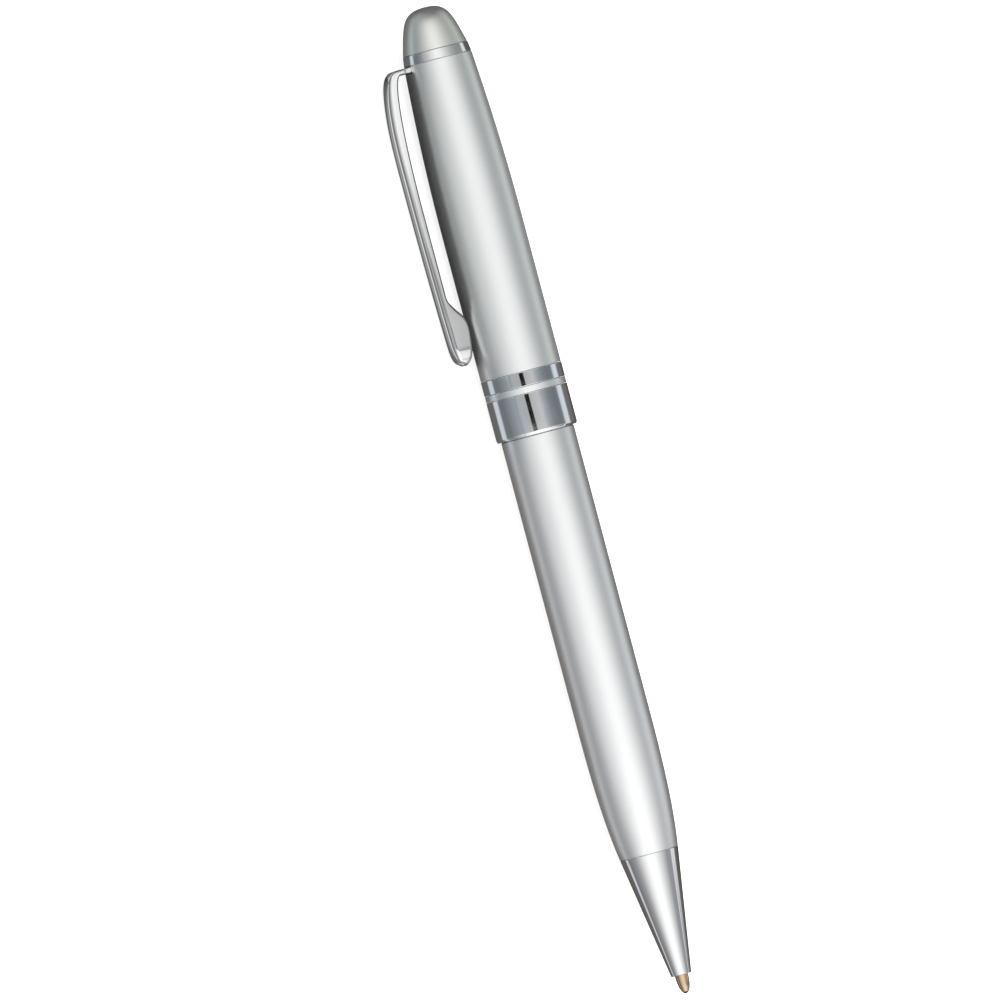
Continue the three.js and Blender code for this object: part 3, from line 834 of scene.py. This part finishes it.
# %% [markdown]
# ## The finishes
# Each finish is one metal or plastic shader. A pattern's mask slides the roughness and the
# colour between two close values, and its height feeds a bump only a few thousandths of a
# millimetre deep. Constant values, such as how metallic a finish is, are set on the shader
# itself, where an exported model can read them.

# %% Tools for finishes
def new_finish(name, metallic, group, values):
    """A material with a shader and one pattern group, set to its own values."""
    material = bpy.data.materials.new(name)
    material.use_nodes = True
    shader = material.node_tree.nodes["Principled BSDF"]
    shader.inputs["Metallic"].default_value = metallic
    pattern = material.node_tree.nodes.new("ShaderNodeGroup")
    pattern.node_tree = group
    for label, value in values.items():
        pattern.inputs[label].default_value = value
    return material, shader, pattern


def slide(material, mask, socket, low, high):
    """Let a mask slide a shader socket between two values, or two colours."""
    tree = material.node_tree
    if isinstance(low, tuple):
        mix = tree.nodes.new("ShaderNodeMix")
        mix.data_type = "RGBA"
        mix.inputs["A"].default_value = (*low, 1)
        mix.inputs["B"].default_value = (*high, 1)
        tree.links.new(mask, mix.inputs["Factor"])
        tree.links.new(mix.outputs["Result"], socket)
    else:
        spread = tree.nodes.new("ShaderNodeMapRange")
        spread.inputs["To Min"].default_value = low
        spread.inputs["To Max"].default_value = high
        spread.inputs["From Min"].default_value = 0.3
        spread.inputs["From Max"].default_value = 0.7
        tree.links.new(mask, spread.inputs["Value"])
        tree.links.new(spread.outputs["Result"], socket)


def emboss(material, shader, height, depth, strength=1.0):
    """Turn a height mask into a bump of the given depth in millimetres."""
    tree = material.node_tree
    bump = tree.nodes.new("ShaderNodeBump")
    bump.inputs["Strength"].default_value = strength
    bump.inputs["Distance"].default_value = depth * mm
    tree.links.new(height, bump.inputs["Height"])
    tree.links.new(bump.outputs["Normal"], shader.inputs["Normal"])


# %% Satin metal
def satin(name, tone, roughness):
    """Blasted and plated metal: even, with a fine grain."""
    material, shader, pattern = new_finish(name, 1, grain, {"Grain size": 9000, "Cloud size": 55})
    darker = tuple(value * 0.97 for value in tone)
    slide(material, pattern.outputs["Cloud"], shader.inputs["Base Color"], darker, tone)
    slide(material, pattern.outputs["Grain"], shader.inputs["Roughness"],
          roughness - 0.03, roughness + 0.03)
    emboss(material, shader, pattern.outputs["Grain"], 0.0012, 0.5)
    return material


satin_silver = satin("satin silver", (0.94, 0.95, 0.95), 0.4)
satin_warm = satin("satin warm silver", (0.935, 0.945, 0.9), 0.43)
print("satin finishes:", satin_silver.name, "and", satin_warm.name)

# %% Polished plating, drawn wire and the ball
def polished(name, tone, roughness, smear_size=500):
    """Bright metal with the faint haze that handling leaves."""
    values = {"Smear size": smear_size, "Hairline size": 4000}
    material, shader, pattern = new_finish(name, 1, haze, values)
    darker = tuple(value * 0.985 for value in tone)
    slide(material, pattern.outputs["Hairlines"], shader.inputs["Base Color"], darker, tone)
    slide(material, pattern.outputs["Smear"], shader.inputs["Roughness"],
          roughness * 0.6, roughness * 1.4)
    emboss(material, shader, pattern.outputs["Hairlines"], 0.00005, 0.3)
    return material


chrome = polished("polished plating", (0.84, 0.845, 0.85), 0.05)
wire = polished("drawn spring wire", (0.62, 0.63, 0.64), 0.26, 1500)
carbide = polished("ground carbide", (0.24, 0.24, 0.25), 0.16, 2500)
print("polished finishes:", chrome.name, wire.name, carbide.name)

# %% Turned metal
def machined(name, tone, roughness, rings):
    """Metal straight from the lathe, with fine rings round the axis."""
    values = {"Rings per metre": rings, "Waver": 0.4}
    material, shader, pattern = new_finish(name, 1, lathe, values)
    darker = tuple(value * 0.9 for value in tone)
    slide(material, pattern.outputs["Rings"], shader.inputs["Base Color"], darker, tone)
    slide(material, pattern.outputs["Rings"], shader.inputs["Roughness"],
          roughness - 0.05, roughness + 0.05)
    emboss(material, shader, pattern.outputs["Rings"], 0.002, 0.4)
    return material


brass = machined("turned brass", (0.78, 0.64, 0.36), 0.28, 9000)
point_metal = machined("bright brass point", (0.66, 0.485, 0.32), 0.14, 5000)
steel = machined("turned steel", (0.68, 0.69, 0.7), 0.3, 9000)
tube_steel = machined("drawn tube", (0.74, 0.74, 0.75), 0.22, 5000)
print("turned finishes:", brass.name, point_metal.name, steel.name, tube_steel.name)

# %% Moulded plastics
def moulded(name, tone, roughness):
    """Moulded plastic with the soft skin of its mould."""
    material, shader, pattern = new_finish(name, 0, skin, {"Skin size": 2500})
    darker = tuple(value * 0.93 for value in tone)
    slide(material, pattern.outputs["Skin"], shader.inputs["Base Color"], darker, tone)
    slide(material, pattern.outputs["Skin"], shader.inputs["Roughness"],
          roughness - 0.06, roughness + 0.06)
    emboss(material, shader, pattern.outputs["Skin"], 0.004, 0.4)
    return material


blue_plastic = moulded("blue refill plug", (0.08, 0.13, 0.36), 0.4)
nylon = moulded("natural nylon", (0.86, 0.85, 0.81), 0.55)
print("plastics:", blue_plastic.name, "and", nylon.name)

# %% [markdown]
# ## Putting the finishes on
# The record names one finish slot for every piece, so the slot decides the material. The pieces
# inside the pen keep their solids and get their finish the same way.

# %% Finish every piece
finishes = {
    "satin_barrel": satin_silver,
    "satin_finial": satin_warm,
    "polished_trim": chrome,
    "mechanism_brass": brass,
    "mechanism_steel": steel,
    "spring_steel": wire,
    "refill_metal": tube_steel,
    "refill_plastic": blue_plastic,
    "mechanism_nylon": nylon,
    "point_brass": point_metal,
    "ball_carbide": carbide,
}
slot_of = {part["node"]: part["material_slot"] for part in frame["record"]["subparts"]}
solids = [(solid, slot_of[node]) for node, solid in frame["nodes"].items()]
for piece, slot in solids + dressed_pieces:
    piece.data.materials.clear()
    piece.data.materials.append(finishes[slot])
print(len(solids), "solids and", len(dressed_pieces), "new pieces have their finish")

# %% [markdown]
# ## The desk
# The floor is a plain white sheet. The camera and the mirrors see it as white, and only part
# of that white comes from the lamps, so that the pen keeps a soft shadow on it.

# %% Lay the floor
def seen_directly(tree):
    """A value of 1 for the camera, for mirrors and for glass, and 0 for everything else."""
    rays = tree.nodes.new("ShaderNodeLightPath").outputs
    seen = add_math(tree, "MAXIMUM", rays["Is Camera Ray"], rays["Is Glossy Ray"])
    return add_math(tree, "MAXIMUM", seen, rays["Is Transmission Ray"])


put_down()
bpy.ops.mesh.primitive_plane_add(size=6, location=(0, 0, 0))
floor = bpy.context.object
floor.name = "white_floor"

paper = bpy.data.materials.new("white paper")
paper.use_nodes = True
tree = paper.node_tree
paper_shader = tree.nodes["Principled BSDF"]
paper_shader.inputs["Base Color"].default_value = (0.8, 0.8, 0.8, 1)
paper_shader.inputs["Roughness"].default_value = 0.9
paper_shader.inputs["Specular IOR Level"].default_value = 0
paper_shader.inputs["Emission Color"].default_value = (1, 1, 1, 1)
paper_glow = 0.8
glow = add_math(tree, "MULTIPLY", seen_directly(tree), paper_glow)
tree.links.new(glow, paper_shader.inputs["Emission Strength"])
floor.data.materials.append(paper)
print("floor is", round(floor.dimensions.x), "m wide")

# %% [markdown]
# ## The light tent
# Metal shows what stands round it, so the pen lies in a long half tube of graded white paper.
# Its brightness follows the angle round the pen: bright on both sides of the camera, falling to
# grey, a bright strip beyond that, and dark paper at the far edge. Each stretch of the pen has
# a grade of its own, and they fade into each other along X. Across the polished bands, a black
# line at the camera's own angle is the gap that the lens looks through. Only reflections see
# the tent. Lamps alone would leave hard spots on the polish where the photograph has soft bands.

# %% Tools for graded paper
plain, warm = (1, 1, 1), (1.04, 1.0, 0.95)
cool, faint, clear = (0.88, 0.99, 1.07), (0.975, 0.995, 1.035), (0.94, 1.0, 0.985)


def grade(tree, factor, stops):
    """A ramp of greys. Each stop is its place, its level and its tint."""
    ramp = tree.nodes.new("ShaderNodeValToRGB")
    tree.links.new(factor, ramp.inputs["Fac"])
    marks = ramp.color_ramp.elements
    for position, _, _ in stops[2:]:
        marks.new(position)
    for mark, (position, _, _) in zip(marks, stops):
        mark.position = position
    for mark, (_, level, tint) in zip(marks, stops):
        mark.color = (level * tint[0], level * tint[1], level * tint[2], 1)
    return ramp.outputs["Color"]


def glowing_paper(name):
    """A material that only glows, with the place on it taken apart."""
    material = bpy.data.materials.new(name)
    material.use_nodes = True
    tree = material.node_tree
    tree.nodes.clear()
    out = tree.nodes.new("ShaderNodeOutputMaterial")
    glow = tree.nodes.new("ShaderNodeEmission")
    place = tree.nodes.new("ShaderNodeTexCoord")
    parts = tree.nodes.new("ShaderNodeSeparateXYZ")
    tree.links.new(place.outputs["Object"], parts.inputs[0])
    tree.links.new(glow.outputs["Emission"], out.inputs["Surface"])
    material.cycles.emission_sampling = "NONE"
    return material, tree, parts.outputs, glow.inputs["Color"]


def blend_over(tree, place, start, end, before, after):
    """Fade from one colour to another as a place goes from start to end."""
    fade = tree.nodes.new("ShaderNodeMapRange")
    fade.interpolation_type = "SMOOTHSTEP"
    fade.inputs["From Min"].default_value = start
    fade.inputs["From Max"].default_value = end
    mix = tree.nodes.new("ShaderNodeMix")
    mix.data_type = "RGBA"
    tree.links.new(place, fade.inputs["Value"])
    tree.links.new(fade.outputs["Result"], mix.inputs["Factor"])
    tree.links.new(before, mix.inputs["A"])
    tree.links.new(after, mix.inputs["B"])
    return mix.outputs["Result"]


def only_reflected(thing):
    """Let nothing but reflections see a piece of the set."""
    thing.visible_camera = False
    thing.visible_diffuse = False
    thing.visible_transmission = False
    thing.visible_shadow = False
    thing.visible_volume_scatter = False


# %% Put up the tent
tent_radius = 0.35
tent_length = 1.4
tent_hem = 0.00004
put_down()
bpy.ops.mesh.primitive_cylinder_add(
    vertices=96, radius=tent_radius, depth=tent_length, rotation=(0, math.pi / 2, 0)
)
tent = bpy.context.object
tent.name = "light_tent"
bpy.ops.object.transform_apply(location=True, rotation=True)
bpy.ops.object.mode_set(mode="EDIT")
bpy.ops.mesh.select_all(action="SELECT")
bpy.ops.mesh.bisect(plane_co=(0, 0, tent_hem), plane_no=(0, 0, 1), clear_inner=True)
bpy.ops.object.mode_set(mode="OBJECT")


def at_angle(degrees):
    """Where on the tent a mirror turned by half this angle from the camera looks."""
    return (math.degrees(camera_rise) + degrees) / 180


def grades(tint, tinted_from, warm_from, levels):
    """Stops from angles and levels: plain paper, then tinted, then warm at the far edge."""
    stops = []
    for degrees, level in levels:
        paper_tint = tint if degrees >= tinted_from else plain
        if degrees >= warm_from:
            paper_tint = warm
        stops.append((at_angle(degrees), level, paper_tint))
    return stops


nowhere = 180
tent_grades = {
    "dark": grades(plain, nowhere, nowhere, [(-38, 0.08), (141, 0.08)]),
    "crown": grades(clear, 70, 117, [
        (-38, 0.5), (-20, 0.86), (0, 1.3), (20, 1.1), (45, 0.58), (70, 0.33), (94, 0.31),
        (99, 0.7), (111, 0.7), (117, 0.12), (141, 0.1),
    ]),
    "top": grades(clear, 51, 117, [
        (-38, 0.5), (-33, 0.6), (-16, 0.88), (0, 1.06), (16, 0.99), (33, 0.71), (51, 0.47),
        (70, 0.33), (94, 0.31), (99, 0.8), (111, 0.8), (117, 0.12), (141, 0.1),
    ]),
    "arm": grades(clear, 54, 124, [
        (-38, 0.56), (-34, 0.6), (-12, 0.9), (8, 1.12), (35, 1.05), (48, 0.96), (54, 0.52),
        (72, 0.31), (95, 0.32), (100, 0.76), (116, 0.76), (124, 0.12), (141, 0.1),
    ]),
    "near": grades(clear, 72, 124, [
        (-38, 0.42), (-34, 0.46), (-12, 0.68), (12, 0.86), (34, 0.76), (46, 0.45),
        (72, 0.3), (95, 0.32), (100, 0.76), (116, 0.76), (124, 0.12), (141, 0.1),
    ]),
    "low": grades(clear, 54, 124, [
        (-38, 0.22), (-30, 0.24), (-12, 0.33), (12, 0.48), (34, 0.68), (42, 0.57), (54, 0.5),
        (72, 0.3), (95, 0.32), (100, 0.76), (116, 0.76), (124, 0.12), (141, 0.1),
    ]),
    "middle": [(at_angle(-38), 0.36, cool), (at_angle(-28), 0.5, cool)] + grades(cool, 42, 117, [
        (-8, 0.47), (-6, 0.01), (4, 0.01), (6, 0.52), (28, 0.61), (42, 0.4), (57, 0.26),
        (74, 0.205), (88, 0.225), (95, 0.76), (108, 0.82), (117, 0.18), (141, 0.16),
    ]),
    "far": grades(faint, 68, 120, [
        (-38, 0.7), (-20, 0.92), (5, 1.26), (24, 1.12), (45, 0.86), (68, 0.46), (88, 0.32),
        (96, 0.78), (112, 0.78), (120, 0.14), (141, 0.1),
    ]),
    "cone": grades(faint, 71, 102, [
        (-38, 0.73), (-24, 1.0), (0, 1.3), (22, 1.14), (45, 0.76), (71, 0.35), (92, 0.33),
        (95, 0.82), (99, 0.82), (102, 0.14), (141, 0.12),
    ]),
    "white": grades(plain, nowhere, nowhere, [
        (-38, 0.9), (-10, 1.3), (24, 1.5), (50, 1.1), (76, 0.75), (141, 0.4),
    ]),
    "grey": grades(plain, nowhere, nowhere, [(-38, 0.36), (141, 0.36)]),
}
bright_share = 1.1
tent_grades["bright"] = [
    (place, level * bright_share, tint) for place, level, tint in tent_grades["far"]
]
tent_paper, tree, parts, glow = glowing_paper("graded tent")
angle = add_math(tree, "ARCTAN2", parts["Z"], add_math(tree, "MULTIPLY", parts["Y"], -1))
turn_share = add_math(tree, "DIVIDE", angle, math.pi)
lit = grade(tree, turn_share, tent_grades["dark"])
for start, end, beyond in (
    (-0.5, -0.4, "crown"),
    (-0.25, -0.2, "top"),
    (-0.12, -0.1, "arm"),
    (-0.056, -0.044, "near"),
    (-0.04, -0.032, "low"),
    (-0.0215, -0.019, "middle"),
    (-0.0068, -0.0045, "far"),
    (0.01, 0.05, "bright"),
    (0.12, 0.15, "cone"),
    (0.22, 0.26, "white"),
    (0.45, 0.55, "grey"),
):
    next_grade = grade(tree, turn_share, tent_grades[beyond])
    lit = blend_over(tree, parts["X"], start, end, lit, next_grade)
tree.links.new(lit, glow)
tent.data.materials.append(tent_paper)
only_reflected(tent)
print("tent has", len(tent.data.polygons), "panels")

# %% [markdown]
# The underside of the pen sees only the desk, a few millimetres away. A wide glowing sheet that
# only reflections see lies under it and carries the same grades down to the pen's lower edge. It
# paints
# what the polish shows of the desk: painted shade under the pen, where its shadow falls, a
# painted bright strip just beside it, and grey that lightens further out. What a mirror sees
# there depends on how steeply it looks down, so the ramp follows that angle.

# %% Lay the sheet of painted shade under the pen
sheet_reach = 0.36
sheet_height = 0.00005
put_down()
bpy.ops.mesh.primitive_plane_add(size=2 * sheet_reach, location=(0, axis_y, sheet_height))
sheet = bpy.context.object
sheet.name = "painted_shade_sheet"
bpy.ops.object.transform_apply(location=True)


def beside(distance):
    """How steeply the pen looks down on a place this many millimetres beside its axis."""
    return 0.5 + math.degrees(math.atan2(distance, axis_z / mm)) / 180


# Painted shade and a painted strip: the dark warm stops up to 6 mm beside the axis paint the
# pen's shadow under it, as the polish sees it. The bright stop just beyond is a painted strip of
# light, and the grey further out lightens away from the pen.
polished_shade_and_strip = [
    (0.01, 0.1, warm),
    (beside(0), 0.1, warm),
    (beside(6.0), 0.16, warm),
    (beside(6.6), 0.72, cool),
    (beside(8.2), 0.72, cool),
    (beside(9.4), 0.2, cool),
    (beside(13.0), 0.205, cool),
    (beside(22), 0.29, cool),
    (beside(60), 0.37, cool),
    (0.99, 0.4, cool),
]
ring_shade_and_strip = polished_shade_and_strip[:-2] + [(beside(60), 0.46, plain), (0.99, 0.54, plain)]
# The upper barrel's stops paint the deepest shade under the pen, then steps of grey and a painted
# bright strip. On the other side they darken towards the pen.
upper_shade_and_strip = [
    (0.01, 0.3, plain),
    (0.12, 0.13, plain),
    (0.35, 0.08, plain),
    (beside(0), 0.03, plain),
    (beside(6), 0.03, plain),
    (beside(7.4), 0.15, plain),
    (beside(8.35), 0.15, plain),
    (beside(8.55), 0.34, plain),
    (beside(9.6), 0.34, plain),
    (beside(9.75), 0.95, plain),
    (beside(10.35), 0.95, plain),
    (beside(10.6), 0.23, clear),
    (beside(13.5), 0.215, clear),
    (beside(17), 0.36, clear),
    (beside(24), 0.5, clear),
    (beside(60), 0.62, clear),
    (0.99, 0.82, plain),
]
# Painted shade under the lower barrel, with a painted bright strip beside it.
lower_shade_and_strip = [
    (0.01, 0.12, warm),
    (beside(0), 0.12, warm),
    (beside(6.0), 0.18, warm),
    (beside(6.6), 0.62, faint),
    (beside(7.6), 0.62, faint),
    (beside(8.8), 0.27, faint),
    (beside(13.0), 0.28, faint),
    (beside(22), 0.48, faint),
    (beside(60), 0.75, faint),
    (0.99, 0.82, plain),
]
# Painted shade under the cone, with a painted bright strip beside it.
cone_shade_and_strip = [
    (0.01, 0.1, warm),
    (beside(0), 0.1, warm),
    (beside(6.3), 0.14, warm),
    (beside(6.8), 0.72, faint),
    (beside(7.7), 0.72, faint),
    (beside(8.7), 0.2, faint),
    (beside(11.5), 0.26, faint),
    (beside(19), 0.36, faint),
    (beside(47), 0.58, plain),
    (0.99, 0.72, plain),
]
# The sheet glows with painted shade under the pen and painted bright strips beside it, and stands
# in for the desk in reflections.
painted_shade_and_strip, tree, parts, glow = glowing_paper("painted shade and strip sheet")
thin_from, thin_to, thin_by = 105, 138, 2.7
narrowing = tree.nodes.new("ShaderNodeMapRange")
narrowing.inputs["From Min"].default_value = on_pen(thin_from).x
narrowing.inputs["From Max"].default_value = on_pen(thin_to).x
narrowing.inputs["To Max"].default_value = thin_by * mm
tree.links.new(parts["X"], narrowing.inputs["Value"])
beside_axis = add_math(tree, "SUBTRACT", axis_y, parts["Y"])
beside_pen = add_math(tree, "ADD", beside_axis, narrowing.outputs["Result"])
steep = add_math(tree, "ARCTAN2", beside_pen, axis_z)
steep_share = add_math(tree, "ADD", add_math(tree, "DIVIDE", steep, math.pi), 0.5)
lit = grade(tree, steep_share, ring_shade_and_strip)
for joint, soft, beyond in (
    (barrel_top, 0.2, upper_shade_and_strip),
    (clip_end + 0.5, 1, lower_shade_and_strip),
    (band_top, 0.2, polished_shade_and_strip),
    (centre_end + 1.2, 0.4, lower_shade_and_strip),
    (nose_top, 0.2, cone_shade_and_strip),
):
    start, end = on_pen(joint - soft).x, on_pen(joint + soft).x
    next_grade = grade(tree, steep_share, beyond)
    lit = blend_over(tree, parts["X"], start, end, lit, next_grade)
tree.links.new(lit, glow)
sheet.data.materials.append(painted_shade_and_strip)
only_reflected(sheet)
print("sheet is", round(sheet.dimensions.x, 2), "m wide")

# %% [markdown]
# ## The lamps
# Two broad soft lamps light the desk from above, so the shadow under the pen is faint and has no
# hard edge. Everything else in the room is plain white.

# %% Hang the lamps and paint the room
for name, place, power, width in (
    ("overhead_lamp", (0.1, -0.5, 1.4), 16, 1.2),
    ("side_lamp", (-0.3, 1.0, 1.1), 7, 1.0),
):
    bpy.ops.object.light_add(type="AREA", location=place)
    lamp = bpy.context.object
    lamp.name = name
    lamp.data.energy = power
    lamp.data.size = width
    lamp.rotation_euler = (-Vector(place)).to_track_quat("-Z", "Y").to_euler()
    lamp.visible_glossy = False
    lamp.visible_camera = False

room = bpy.data.worlds.new("white_room")
room.use_nodes = True
bpy.context.scene.world = room
tree = room.node_tree
background = tree.nodes["Background"]
background.inputs["Color"].default_value = (1, 1, 1, 1)
room_light = 0.5
level = add_math(tree, "MULTIPLY", seen_directly(tree), 1 - room_light)
tree.links.new(add_math(tree, "ADD", level, room_light), background.inputs["Strength"])
bpy.context.scene.view_settings.view_transform = "Standard"
